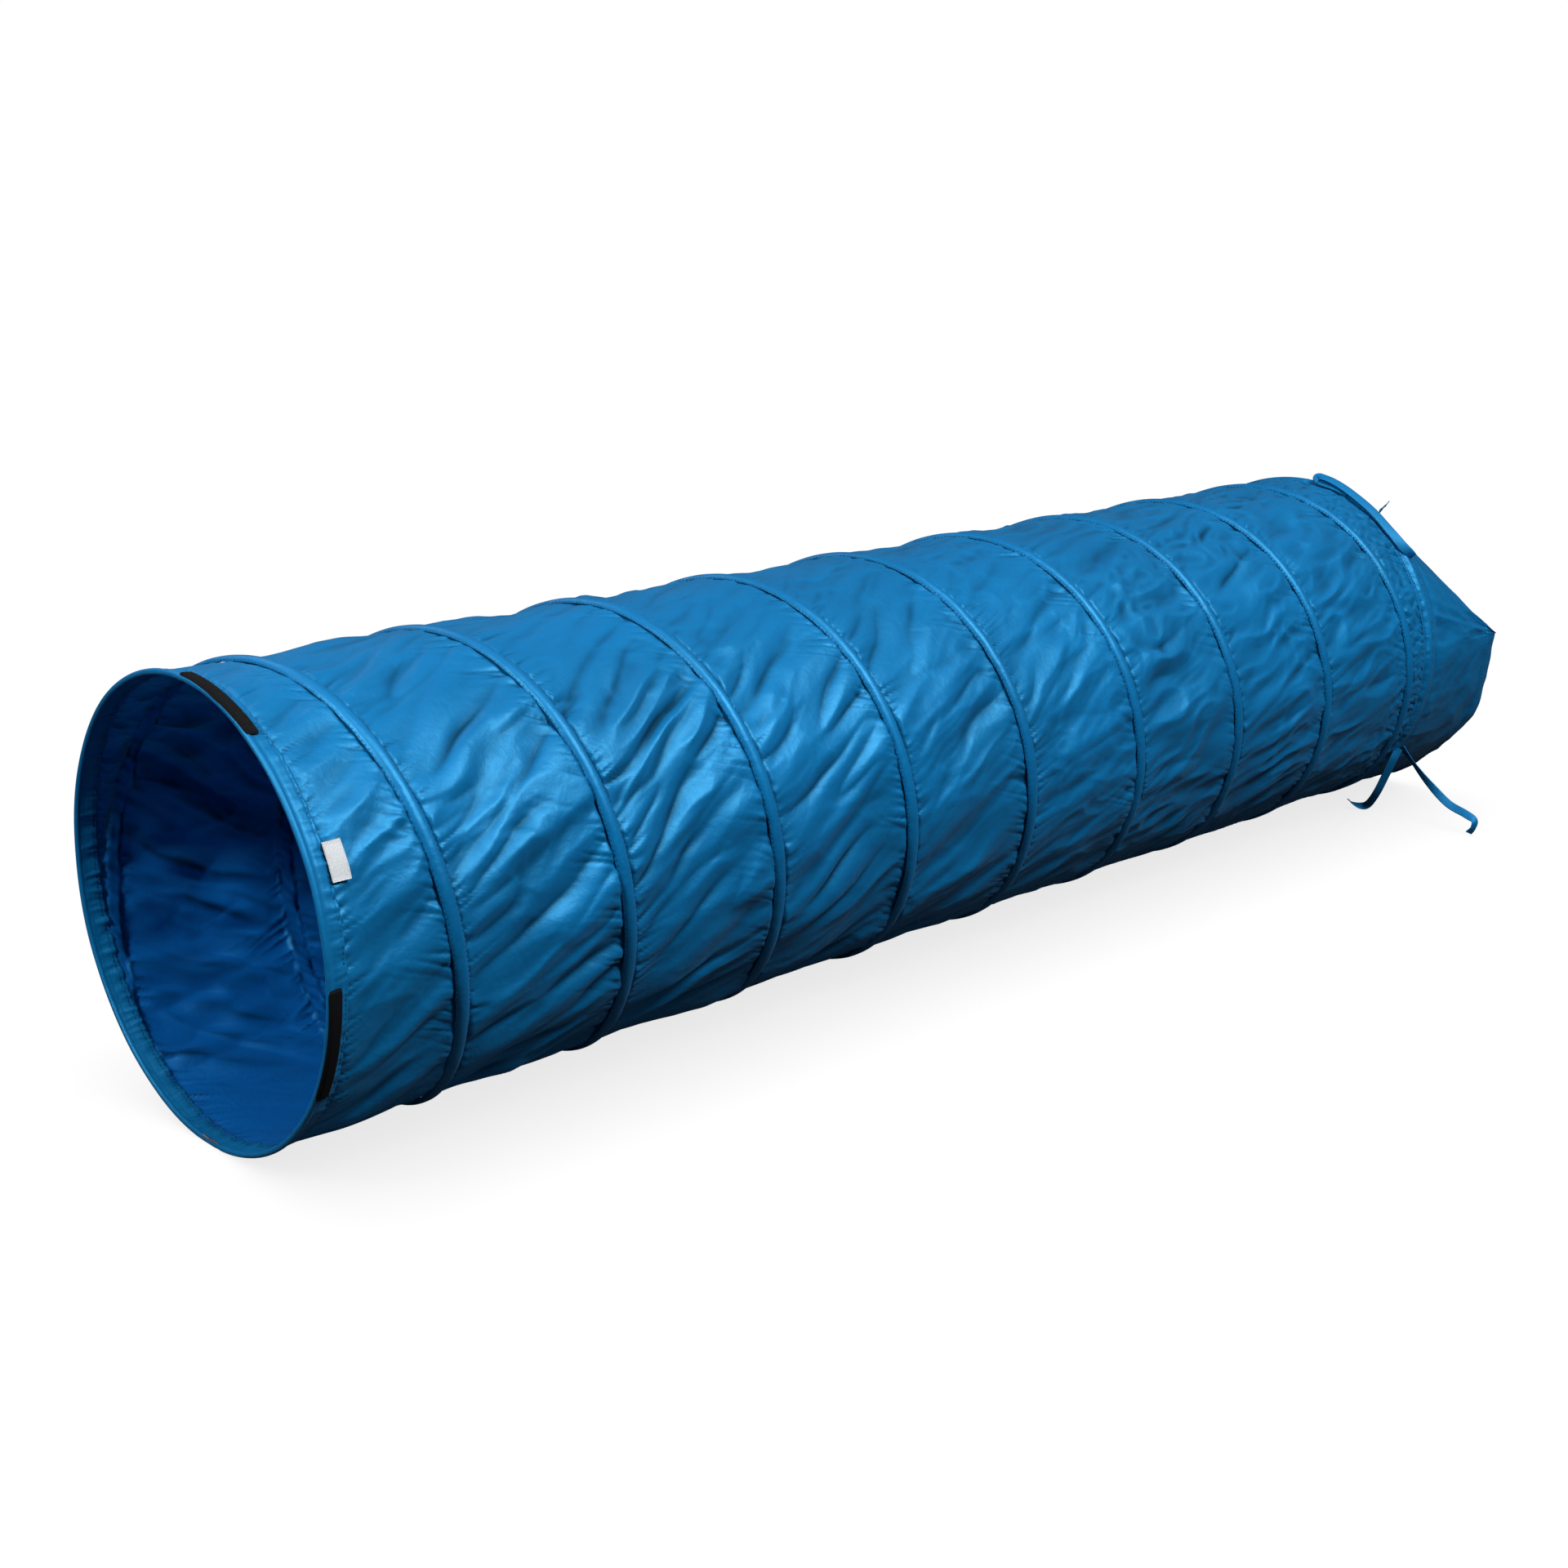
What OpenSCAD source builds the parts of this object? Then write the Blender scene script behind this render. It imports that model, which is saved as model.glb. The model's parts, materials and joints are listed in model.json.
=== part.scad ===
// Pop-up agility tunnel: a fabric tube held open by a coiled spring wire, with a
// ring at each end, hook-and-loop strips on the mouth and a short tie-off sleeve.
// X runs along the tunnel from the mouth to the far end, Z is up, and the origin
// is on the floor under the centre of the mouth ring. Lengths are in millimetres.
// Angles round the tunnel start at the top and run clockwise seen from the mouth.

/* [Tunnel] */
// Outside diameter over the coil casings
rim_d = 483; // [400:1:600]
// Length from the mouth ring to the far ring
tunnel_l = 1830; // [1400:5:2400]
// Distance from the mouth ring to the first bend line
mouth_zone = 38; // [34:1:50]
// Thickness of the tube fabric
fabric_t = 0.8; // [0.4:0.1:1.0]
// How far the underside is pressed flat where it rests on the floor
sag = 2; // [1:0.1:2]

/* [Coil spring] */
// Diameter of the coil wire
coil_wire_d = 2.4; // [1.6:0.1:2.8]
// Diameter of the two ring wires
ring_wire_d = 2.6; // [2:0.1:2.8]
// Width of the fabric casing sewn over the coil
casing_w = 15; // [12:1:20]
// Height of the casing off the tube
casing_h = 5.2; // [4.6:0.1:6]
// Thickness of the casing fabric
casing_t = 0.7; // [0.4:0.1:0.8]

/* [Rims] */
// Thickness of the rolled edge round each ring wire
roll_d = 10; // [10:0.5:12]
// Width of the folded hem at the mouth
hem_w = 20; // [18:1:26]
// Width of the seam band at the far ring
end_band_w = 26; // [20:1:32]

/* [Hook and loop] */
// Length of each strip along the rim
strip_l = 125; // [80:5:130]
// Width of each strip
strip_w = 13; // [10:1:16]
// Thickness of each strip
strip_t = 2; // [1:0.1:2.4]
// Angle of each strip round the rim: loop, hook, loop, hook
strip_angles = [17, 107, 206, 287];

/* [Label] */
// Length of the woven label along its seam
label_l = 38; // [30:1:60]
// Height of the label off its seam
label_w = 19; // [15:1:30]
// Angle of the label round the rim
label_angle = 65; // [55:1:75]

/* [Sleeve and ties] */
// Length of the unsupported sleeve past the far ring
sleeve_l = 155; // [120:5:200]
// Width of the hem at the open end of the sleeve
sleeve_hem_w = 20; // [15:1:25]
// Share of the upper half's height that slumps at the open end
slump = 0.86; // [0.5:0.02:0.9]
// Width of the tie tape
tie_w = 16; // [10:1:20]
// Thickness of the tie tape
tie_t = 1.2; // [0.8:0.1:2]
// Angle of the lower ties round the far ring
low_tie_angle = 125; // [120:1:130]

/* [Hidden] */

blue = [0.03, 0.33, 0.60];
bright_blue = [0.06, 0.42, 0.70];
steel = [0.62, 0.63, 0.65];
$fn = 96;

// The coil crosses the bend side of the tube, at 270 degrees, at each bay's start
bend_angle = 270;
full_bays = 8;
last_share = 0.75;
pitch = (tunnel_l - mouth_zone) / (full_bays + last_share);
step = 10;
turn_steps = 360 / step;
end_steps = 23;

// Radii of the nested walls, from the coil inwards
coil_r = rim_d / 2 - casing_h / 2;
casing_gap = 2;
shell_r = coil_r - casing_h / 2 - casing_gap;
inner_r = shell_r - fabric_t;
band_t = fabric_t + 0.4;
axis_h = rim_d / 2 - sag;
ring_r = rim_d / 2 - roll_d / 2;
ring_hole_d = roll_d - 5.2;
ring_bore_gap = 0.3;

function bay_x(k) = mouth_zone + pitch * (k - 1);
function bay_l(k) = k > full_bays ? pitch * last_share : pitch;

// A point on the tube wall of radius r: round, with a flat where it rests
function wall_point(x, r, phi) = [x, -r * sin(phi), axis_h + max(r * cos(phi), sag - r)];

// Turns 2D work in the YZ plane into a length along X, at the tunnel's axis
module along_x(x) {
    translate([x, 0, axis_h])
        rotate([90, 0, 90])
            children();
}

module tube(x, length, r_out, r_in) {
    along_x(x)
        linear_extrude(length)
            difference() {
                circle(r_out);
                circle(r_in);
            }
}

// Sweeps a profile (radius, x) all the way round
module ring(x) {
    along_x(x)
        rotate_extrude()
            children();
}

// Sweeps a profile (radius, x) over part of the way round, centred on phi
module arc_sweep(x, phi, sweep) {
    along_x(x)
        rotate([0, 0, 90 + phi - sweep / 2])
            rotate_extrude(angle = sweep)
                children();
}

module arc_strip(x, width, r, thickness, phi, sweep) {
    arc_sweep(x, phi, sweep)
        translate([r, 0])
            square([thickness, width]);
}

// Joins a list of equal rings of points into a closed solid. A wall that wraps is
// split along the same diagonals on both faces, so that it keeps its thickness.
module skin(rings, wraps) {
    m = len(rings[0]);
    n = len(rings);
    last = wraps ? n - 1 : n - 2;
    sides = [for (i = [0 : last], j = [0 : m - 1], side = [0, 1])
        let (a = i * m + j,
             b = i * m + (j + 1) % m,
             c = ((i + 1) % n) * m + (j + 1) % m,
             d = ((i + 1) % n) * m + j,
             outer = wraps && i < n / 2)
        side == 0 ? (outer ? [a, b, d] : [a, b, c]) : (outer ? [b, c, d] : [a, c, d])];
    caps = wraps ? [] : [[for (j = [m - 1 : -1 : 0]) j],
                         [for (j = [0 : m - 1]) (n - 1) * m + j]];
    polyhedron(points = [for (ring = rings) each ring], faces = concat(sides, caps));
}

// One cross-section of the coil, at phi degrees past the first bend line
function coil_ring(phi, half_w, half_h) = [for (a = [0 : 60 : 300])
    wall_point(mouth_zone + pitch * phi / 360 + half_w * cos(a),
               coil_r + half_h * sin(a), bend_angle + phi)];

end_gap = 0.15;
function turn_angles(first, steps) = [for (i = [0 : steps])
    first + i * step + (i == 0 ? end_gap : i == steps ? -end_gap : 0)];

module coil_wire(first, steps) {
    r = coil_wire_d / 2;
    color(steel)
        skin([for (phi = turn_angles(first, steps)) coil_ring(phi, r, r)], false);
}

module coil_casing(first, steps) {
    outer = [for (phi = turn_angles(first, steps)) coil_ring(phi, casing_w / 2, casing_h / 2)];
    inner_w = casing_w / 2 - 2 * casing_t;
    inner_h = casing_h / 2 - casing_t;
    inner = [for (phi = turn_angles(first, steps)) coil_ring(phi, inner_w, inner_h)];
    last = len(inner) - 1;
    color(bright_blue)
        skin(concat(outer, [for (i = [last : -1 : 0]) inner[i]]), true);
}

module coil_turn(k) {
    coil_wire((k - 1) * 360, k > full_bays ? end_steps : turn_steps);
}

module casing_turn(k) {
    coil_casing((k - 1) * 360, k > full_bays ? end_steps : turn_steps);
}

module shell_bay(k) {
    gap = 0.2;
    ends = k > full_bays ? end_band_w / 2 + gap : gap;
    color(blue)
        tube(bay_x(k) + gap, bay_l(k) - gap - ends, shell_r, inner_r);
}

// Radius of the outer face of a folded hem, distance along from its ring
function hem_face(distance, width) =
    ring_r + roll_d / 2 - (ring_r + roll_d / 2 - shell_r - band_t) * distance / width;

// A point of the rolled edge, at an angle round the ring wire
function roll_point(a) = [ring_r + roll_d / 2 * cos(a), roll_d / 2 * sin(a)];

// Profile of a folded hem that tapers from its rolled edge to a flat seam, on one
// side of the ring or on both
module hem_profile(width, both) {
    facet = 30;
    near = [roll_point(facet), [hem_face(width, width), width], [inner_r, width],
            roll_point(180 - facet)];
    far = both ? [for (i = [3 : -1 : 0]) [near[i][0], -near[i][1]]]
               : [for (a = [180 + facet : facet : 360 - facet]) roll_point(a)];
    polygon(concat([roll_point(0)], near, [roll_point(180)], far));
}

// A hem round a ring wire: hollow along the wire, pressed flat below, and open on
// the inside for a short way at the foot, where the wire is fed in
module hollow_hem(x, width, both) {
    slot_l = 40;
    slot_w = 3;
    difference() {
        ring(x)
            hem_profile(width, both);
        ring(x)
            translate([ring_r, 0])
                circle(d = ring_hole_d, $fn = 32);
        arc_sweep(x, 180, slot_l / ring_r * 180 / PI)
            translate([ring_r - roll_d, -slot_w / 2])
                square([roll_d, slot_w]);
        translate([x - roll_d, -ring_r, -roll_d])
            cube([2 * roll_d, 2 * ring_r, roll_d]);
    }
}

module ring_wire(x) {
    color(steel)
        ring(x)
            translate([ring_r, 0])
                circle(d = ring_wire_d, $fn = 32);
}

// Crimp sleeve that joins the ring wire's ends, at the foot of the ring
module ferrule(x) {
    length = 30;
    wall = 0.7;
    bore_d = ring_wire_d + ring_bore_gap;
    color(steel)
        arc_sweep(x, 180, length / ring_r * 180 / PI)
            translate([ring_r, 0])
                difference() {
                    circle(d = bore_d + 2 * wall, $fn = 32);
                    circle(d = bore_d, $fn = 32);
                }
}

module mouth_hem() {
    color(blue) {
        hollow_hem(0, hem_w, false);
        tube(hem_w - 1, mouth_zone - hem_w + 1, shell_r, inner_r);
    }
}

module mouth_ring_wire() {
    ring_wire(0);
}

module mouth_ferrule() {
    ferrule(0);
}

// A strip lies on the hem's outer face, flush with the mouth's edge
module rim_strip(phi) {
    edge = 1;
    lift = 0.3;
    near_r = hem_face(edge, hem_w) + lift;
    far_r = hem_face(edge + strip_w, hem_w) + lift;
    sweep = strip_l / near_r * 180 / PI;
    color([0.03, 0.03, 0.035])
        arc_sweep(0, phi, sweep)
            polygon([[near_r, edge], [near_r + strip_t, edge],
                     [far_r + strip_t, edge + strip_w], [far_r, edge + strip_w]]);
}

module rim_hook_strips() {
    rim_strip(strip_angles[1]);
    rim_strip(strip_angles[3]);
}

module rim_loop_strips() {
    rim_strip(strip_angles[0]);
    rim_strip(strip_angles[2]);
}

module woven_label() {
    label_t = 0.8;
    clearance = 1.2;
    color("white")
        translate([0, 0, axis_h])
            rotate([label_angle, 0, 0])
                translate([hem_w + 1, -label_l / 2, shell_r + clearance])
                    cube([label_w, label_l, label_t]);
}

module end_hem() {
    color(blue)
        hollow_hem(tunnel_l, end_band_w / 2, true);
}

module end_ring_wire() {
    ring_wire(tunnel_l);
}

module end_ferrule() {
    ferrule(tunnel_l);
}

// The sleeve has no ring, so its upper half slumps towards the open end and its
// sides spread a little. share runs from 0 at the far ring to 1 at the open end,
// and offset is measured outwards from the tube's outer face.
spread = 0.02;
sleeve_x = tunnel_l + end_band_w / 2 + 0.2;
function sleeve_point(share, offset, phi) =
    let (keep = cos(phi) > 0 ? 1 - slump * share : 1,
         out = [keep * sin(phi), cos(phi)],
         unit = out / norm(out),
         side = shell_r * sin(phi) * (1 + spread * share) + offset * unit[0],
         rise = shell_r * keep * cos(phi) + offset * unit[1])
    [sleeve_x + share * sleeve_l, -side, axis_h + rise];

module sleeve_wall(shares, out, inn) {
    outer = [for (s = shares) [for (phi = [0 : step : 360 - step]) sleeve_point(s, out, phi)]];
    inner = [for (s = shares) [for (phi = [0 : step : 360 - step]) sleeve_point(s, inn, phi)]];
    last = len(shares) - 1;
    skin(concat([for (i = [last : -1 : 0]) outer[i]], inner), true);
}

hem_share = 1 - sleeve_hem_w / sleeve_l;

module chute_sleeve() {
    gap = 0.002;
    rows = 3;
    color(blue)
        sleeve_wall([for (i = [0 : rows]) (hem_share - gap) * i / rows], 0, -fabric_t);
}

module chute_hem() {
    color(blue)
        sleeve_wall([hem_share, 1], band_t, -fabric_t - band_t / 2);
}

// Long upper tie: anchored near the top of the far ring and lying along it
tie_clear = 0.6;
module tie_top_long() {
    start = 6;
    sweep = 44;
    color(bright_blue)
        arc_strip(tunnel_l - tie_w / 2, tie_w, rim_d / 2 + tie_clear, tie_t,
                  start + sweep / 2, sweep);
}

// Short upper tie: from the far ring out over the sleeve
module tie_top_short() {
    anchor = 30;
    length = 70;
    color(bright_blue)
        translate([tunnel_l + tie_w / 2 + tie_t + tie_clear, 0, axis_h])
            rotate([anchor, 0, 0])
                translate([0, -tie_w / 2, rim_d / 2 + tie_clear])
                    cube([length, tie_w, tie_t]);
}

// A lower tie hangs from the ring and turns out along the floor, or back under
module low_tie(x, foot_l) {
    top_y = -(rim_d / 2 + tie_clear) * sin(low_tie_angle);
    top_z = axis_h + (rim_d / 2 + tie_clear) * cos(low_tie_angle);
    foot_y = top_y - 10 - tie_t;
    out = foot_l > 0 ? -1 : 1;
    far_y = foot_y + out * abs(foot_l);
    color(bright_blue)
        translate([x, 0, 0])
            rotate([90, 0, 90])
                linear_extrude(tie_w)
                    polygon([[top_y - tie_t, top_z], [foot_y, top_z - 12], [foot_y, tie_t],
                             [far_y, tie_t], [far_y, 0], [foot_y + (foot_l > 0 ? tie_t : 0), 0],
                             [foot_y + tie_t, 0], [foot_y + tie_t, top_z - 12], [top_y, top_z]]);
}

module tie_low_long() {
    foot_l = 120;
    low_tie(tunnel_l + 1, foot_l);
}

module tie_low_short() {
    foot_l = 60;
    low_tie(tunnel_l - 1 - tie_w, foot_l);
}

mouth_hem();
mouth_ring_wire();
mouth_ferrule();
rim_hook_strips();
rim_loop_strips();
woven_label();
shell_bay(1);  // shell_bay_1
shell_bay(2);  // shell_bay_2
shell_bay(3);  // shell_bay_3
shell_bay(4);  // shell_bay_4
shell_bay(5);  // shell_bay_5
shell_bay(6);  // shell_bay_6
shell_bay(7);  // shell_bay_7
shell_bay(8);  // shell_bay_8
shell_bay(9);  // shell_bay_9
coil_turn(1);  // coil_turn_1
coil_turn(2);  // coil_turn_2
coil_turn(3);  // coil_turn_3
coil_turn(4);  // coil_turn_4
coil_turn(5);  // coil_turn_5
coil_turn(6);  // coil_turn_6
coil_turn(7);  // coil_turn_7
coil_turn(8);  // coil_turn_8
coil_turn(9);  // coil_turn_9
casing_turn(1);  // casing_turn_1
casing_turn(2);  // casing_turn_2
casing_turn(3);  // casing_turn_3
casing_turn(4);  // casing_turn_4
casing_turn(5);  // casing_turn_5
casing_turn(6);  // casing_turn_6
casing_turn(7);  // casing_turn_7
casing_turn(8);  // casing_turn_8
casing_turn(9);  // casing_turn_9
end_hem();
end_ring_wire();
end_ferrule();
chute_sleeve();
chute_hem();
tie_top_long();
tie_top_short();
tie_low_long();
tie_low_short();
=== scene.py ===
"""Looks of the pop-up agility tunnel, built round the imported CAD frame.

Everything is in metres in the CAD frame: X runs from the mouth to the far end, Z is up. Angles round
the tunnel (phi) start at the top and run clockwise seen from the mouth, as the coil does.
"""

import json
import math

import bpy
import numpy as np
from mathutils import Matrix, Vector


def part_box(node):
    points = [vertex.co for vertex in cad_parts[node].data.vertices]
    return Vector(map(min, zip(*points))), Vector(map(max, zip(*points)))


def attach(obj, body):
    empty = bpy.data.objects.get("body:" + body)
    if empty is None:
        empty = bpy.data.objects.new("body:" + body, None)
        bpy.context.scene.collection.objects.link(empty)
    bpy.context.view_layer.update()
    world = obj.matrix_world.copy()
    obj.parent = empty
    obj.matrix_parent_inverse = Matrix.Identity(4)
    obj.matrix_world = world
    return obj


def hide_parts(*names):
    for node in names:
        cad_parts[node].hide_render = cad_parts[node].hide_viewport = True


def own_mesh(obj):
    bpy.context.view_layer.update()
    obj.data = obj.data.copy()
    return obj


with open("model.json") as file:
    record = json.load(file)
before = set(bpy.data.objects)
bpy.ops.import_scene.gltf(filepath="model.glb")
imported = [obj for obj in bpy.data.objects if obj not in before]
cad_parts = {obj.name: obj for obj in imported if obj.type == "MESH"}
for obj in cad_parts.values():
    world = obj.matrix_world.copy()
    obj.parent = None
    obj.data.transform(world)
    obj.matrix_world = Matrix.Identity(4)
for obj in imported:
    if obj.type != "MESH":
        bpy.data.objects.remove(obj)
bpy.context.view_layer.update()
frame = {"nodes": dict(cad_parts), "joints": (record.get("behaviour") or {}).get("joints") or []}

MM = 0.001
TAU = 2 * math.pi

# ---------------------------------------------------------------- sizes, read from the frame

JOINTS = {j["name"]: j for j in frame["joints"]}
BAYS = sum(name.startswith("bend_") for name in JOINTS)
BAY_X = [JOINTS[f"bend_{k}"]["pos_m"][0] for k in range(1, BAYS + 1)]
PITCH = BAY_X[1] - BAY_X[0]
FAR_X = sum(c.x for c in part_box("end_ring_wire")) / 2
RIM_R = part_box("mouth_hem")[1].y
AXIS_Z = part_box("mouth_hem")[1].z - RIM_R
SHELL_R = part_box("shell_bay_1")[1].y
SEAM_X = 20 * MM
END_SEAM = 13 * MM
SLEEVE_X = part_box("chute_sleeve")[0].x
SLEEVE_HEM_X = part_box("chute_hem")[0].x
SLEEVE_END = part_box("chute_hem")[1].x
CASING_HALF = 8.5 * MM
STITCH_W = 0.8 * MM
HEM_STITCH = 3.3 * MM
CASING_STITCH = 3.4 * MM
FABRIC_R = SHELL_R + 2.0 * MM
START = math.radians(270)
FRONT = (-0.66, -0.70, 0.28)
FLOOR_GAP = 0.6 * MM


# ---------------------------------------------------------------- noise

def lattice(ix, iy, seed):
    """A repeatable random angle at each whole-number place."""
    h = (ix.astype(np.int64) * 374761393 + iy.astype(np.int64) * 668265263 + seed * 974711) & 0xFFFFFFFF
    h = ((h ^ (h >> 13)) * 1274126177) & 0xFFFFFFFF
    h = (h ^ (h >> 16)) & 0xFFFFFF
    return h.astype(np.float64) / 0xFFFFFF * TAU


def noise(x, y, seed=0):
    """Smooth gradient noise, about -1 to 1, one feature per unit."""
    x, y = np.broadcast_arrays(np.asarray(x, float), np.asarray(y, float))
    ix, iy = np.floor(x), np.floor(y)
    fx, fy = x - ix, y - iy
    u, v = fx ** 3 * (fx * (fx * 6 - 15) + 10), fy ** 3 * (fy * (fy * 6 - 15) + 10)

    def corner(dx, dy):
        a = lattice(ix + dx, iy + dy, seed)
        return np.cos(a) * (fx - dx) + np.sin(a) * (fy - dy)

    low = corner(0, 0) * (1 - u) + corner(1, 0) * u
    high = corner(0, 1) * (1 - u) + corner(1, 1) * u
    return 1.55 * (low * (1 - v) + high * v)


def crest(n, soft=0.08):
    """Turns noise into sharp-topped folds: 1 on a crease, falling away on both sides."""
    return 1 - 2 * np.sqrt(n * n + soft * soft)


def smooth(a, b, x):
    t = np.clip((x - a) / (b - a), 0, 1)
    return t * t * (3 - 2 * t)


# ---------------------------------------------------------------- mesh helpers

def wall(x, r, phi):
    """A point of the tube wall at radius r, kept above the floor."""
    z = np.maximum(AXIS_Z + r * np.cos(phi), FLOOR_GAP)
    return np.stack(np.broadcast_arrays(x, -r * np.sin(phi), z), -1)


def grid_faces(rows, cols, wrap_cols=False, wrap_rows=False, flip=False):
    i = np.arange(rows if wrap_rows else rows - 1)[:, None]
    j = np.arange(cols if wrap_cols else cols - 1)[None, :]
    down, right = (i + 1) % rows, (j + 1) % cols
    a, b, c, d = i * cols + j, i * cols + right, down * cols + right, down * cols + j
    order = (a, b, c, d) if flip else (a, d, c, b)
    return np.stack(np.broadcast_arrays(*order), -1).reshape(-1, 4)


def make(name, points, faces, material, normals=None, uv=None, smooth_shade=True, hollow=None):
    """A mesh object from an array of points and a list of faces."""
    mesh = bpy.data.meshes.new(name)
    points = np.asarray(points, float).reshape(-1, 3)
    mesh.from_pydata(points.tolist(), [], [list(map(int, f)) for f in faces])
    mesh.update()
    mesh.polygons.foreach_set("use_smooth", [smooth_shade] * len(mesh.polygons))
    if uv is not None:
        layer = mesh.uv_layers.new(name="weave")
        index = np.zeros(len(mesh.loops), int)
        mesh.loops.foreach_get("vertex_index", index)
        layer.data.foreach_set("uv", np.asarray(uv, float).reshape(-1, 2)[index].ravel())
    if normals is not None:
        mesh.normals_split_custom_set_from_vertices(np.asarray(normals, float).reshape(-1, 3).tolist())
    # painted shade for the fabric material: how dark and dull each point is drawn
    if hollow is not None:
        shade = mesh.attributes.new("hollow", "FLOAT", "POINT")
        shade.data.foreach_set("value", np.clip(hollow, 0, 1).astype(float).ravel())
    piece = bpy.data.objects.new(name, mesh)
    bpy.context.scene.collection.objects.link(piece)
    mesh.materials.append(material)
    return piece


def hollows(height, depth, reach=4):
    """How far each place of a height grid lies below its surroundings: 1 at the given depth."""
    mean = height
    for _ in range(reach):
        mean = (mean + np.roll(mean, 1, 1) + np.roll(mean, -1, 1)) / 3
        up, down = np.vstack([mean[:1], mean[:-1]]), np.vstack([mean[1:], mean[-1:]])
        mean = (mean + up + down) / 3
    return np.clip((mean - height) / depth, 0, 1)


def slab_faces(rows, cols):
    """Faces of a two-layer patch: a top grid, the same grid below it, and a rim between them."""
    n = rows * cols
    top = [tuple(f) for f in grid_faces(rows, cols)]
    low = [tuple(n + c for c in reversed(f)) for f in top]
    rim = [i * cols for i in range(rows)] + [(rows - 1) * cols + j for j in range(1, cols)]
    rim += [i * cols + cols - 1 for i in range(rows - 2, -1, -1)] + list(range(cols - 2, 0, -1))
    return top + low + [(a, b, n + b, n + a) for a, b in zip(rim, rim[1:] + rim[:1])]


def skin(name, rings, material, closed=False, uv=None):
    """A solid through equal closed loops of points: rings has shape (loops, points, 3)."""
    n, m = rings.shape[:2]
    faces = [tuple(f) for f in grid_faces(n, m, True, closed)]
    if not closed:
        faces.append(tuple(range(m)))
        faces.append(tuple((n - 1) * m + j for j in reversed(range(m))))
    return make(name, rings, faces, material, uv=uv)


def grid_normals(p):
    """Outward normals of a grid of wall points, from its neighbours."""
    along = np.gradient(p, axis=0)
    round_ = np.roll(p, -1, 1) - np.roll(p, 1, 1)
    n = np.cross(round_, along)
    n /= np.linalg.norm(n, axis=-1, keepdims=True) + 1e-12
    outward = p - np.array([0, 0, AXIS_Z])
    outward[..., 0] = 0
    flip = np.sign((n * outward).sum(-1, keepdims=True))
    return n * np.where(flip == 0, 1, flip)


# ---------------------------------------------------------------- materials

WEAVE = 0.55 * MM

def material(name, rough, colour, sheen=0.0, metal=0.0):
    mat = bpy.data.materials.new(name)
    mat.use_nodes = True
    tree = mat.node_tree
    bsdf = tree.nodes["Principled BSDF"]
    bsdf.inputs["Base Color"].default_value = (*colour, 1)
    bsdf.inputs["Roughness"].default_value = rough
    bsdf.inputs["Metallic"].default_value = metal
    bsdf.inputs["Sheen Weight"].default_value = sheen
    return mat, tree, bsdf


def node(tree, kind, **values):
    made = tree.nodes.new(kind)
    for key, value in values.items():
        if key in made.inputs:
            made.inputs[key].default_value = value
        else:
            setattr(made, key, value)
    return made


def link(tree, a, out, b, into):
    tree.links.new(a.outputs[out], b.inputs[into])


def two_tones(tree, colour, dark, light):
    """A colour ramp between two strengths of a colour: dark and light are (position, strength)."""
    ramp = node(tree, "ShaderNodeValToRGB")
    for element, (position, strength) in zip(ramp.color_ramp.elements, (dark, light)):
        element.position = position
        element.color = (*[min(1, c * strength) for c in colour], 1)
    return ramp


def threads(tree):
    """Plain weave: warp and weft crossing."""
    uv = node(tree, "ShaderNodeUVMap", uv_map="weave")
    made = node(tree, "ShaderNodeMath", operation="MULTIPLY")
    for i, axis in enumerate("XY"):
        wave = node(tree, "ShaderNodeTexWave", bands_direction=axis, Scale=0.314 / WEAVE,
                    Distortion=0.6)
        link(tree, uv, "UV", wave, "Vector")
        link(tree, wave, "Fac", made, i)
    return made


def packing_creases(tree, space):
    """Shallow straight-edged creases, a little warped."""
    warp = node(tree, "ShaderNodeTexNoise", Scale=5.0, Detail=2.0)
    link(tree, space, "Object", warp, "Vector")
    pushed = node(tree, "ShaderNodeVectorMath", operation="MULTIPLY_ADD")
    link(tree, warp, "Color", pushed, 0)
    pushed.inputs[1].default_value = (0.12, 0.12, 0.12)
    link(tree, space, "Object", pushed, 2)
    facets = node(tree, "ShaderNodeTexVoronoi", feature="DISTANCE_TO_EDGE", Scale=15.0)
    link(tree, pushed, "Vector", facets, "Vector")
    crease = node(tree, "ShaderNodeMath", operation="MINIMUM")
    crease.inputs[1].default_value = 0.10
    link(tree, facets, "Distance", crease, 0)
    return crease


def fabric_bumps(tree, bsdf, space, crinkle):
    """Creases, soft waves, crinkle and threads, the coarsest first."""
    soft = node(tree, "ShaderNodeTexNoise", Scale=38.0, Detail=3.0, Distortion=0.7)
    link(tree, space, "Object", soft, "Vector")
    layers = ((packing_creases(tree, space), 0, 0.22, 7.0), (soft, "Fac", 0.4, 1.6),
              (crinkle, "Fac", 0.7, 0.6), (threads(tree), 0, 0.5, 0.05))
    below = None
    for source, output, strength, height in layers:
        bump = node(tree, "ShaderNodeBump", Strength=strength, Distance=height * MM)
        link(tree, source, output, bump, "Height")
        if below:
            link(tree, below, "Normal", bump, "Normal")
        below = bump
    link(tree, below, "Normal", bsdf, "Normal")


def fabric_tone(tree, colour, space):
    """Slow changes of tone outside, and one darker, bluer tone on the inside."""
    tone = node(tree, "ShaderNodeTexNoise", Scale=6.0, Detail=3.0)
    link(tree, space, "Object", tone, "Vector")
    ramp = two_tones(tree, colour, (0.3, 0.86), (0.75, 1.12))
    link(tree, tone, "Fac", ramp, "Fac")
    side = node(tree, "ShaderNodeNewGeometry")
    faces = node(tree, "ShaderNodeMix", data_type="RGBA")
    faces.inputs[7].default_value = (colour[0], colour[1] * 0.86, colour[2] * 1.25, 1)
    link(tree, side, "Backfacing", faces, 0)
    link(tree, ramp, "Color", faces, 6)
    return faces


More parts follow.
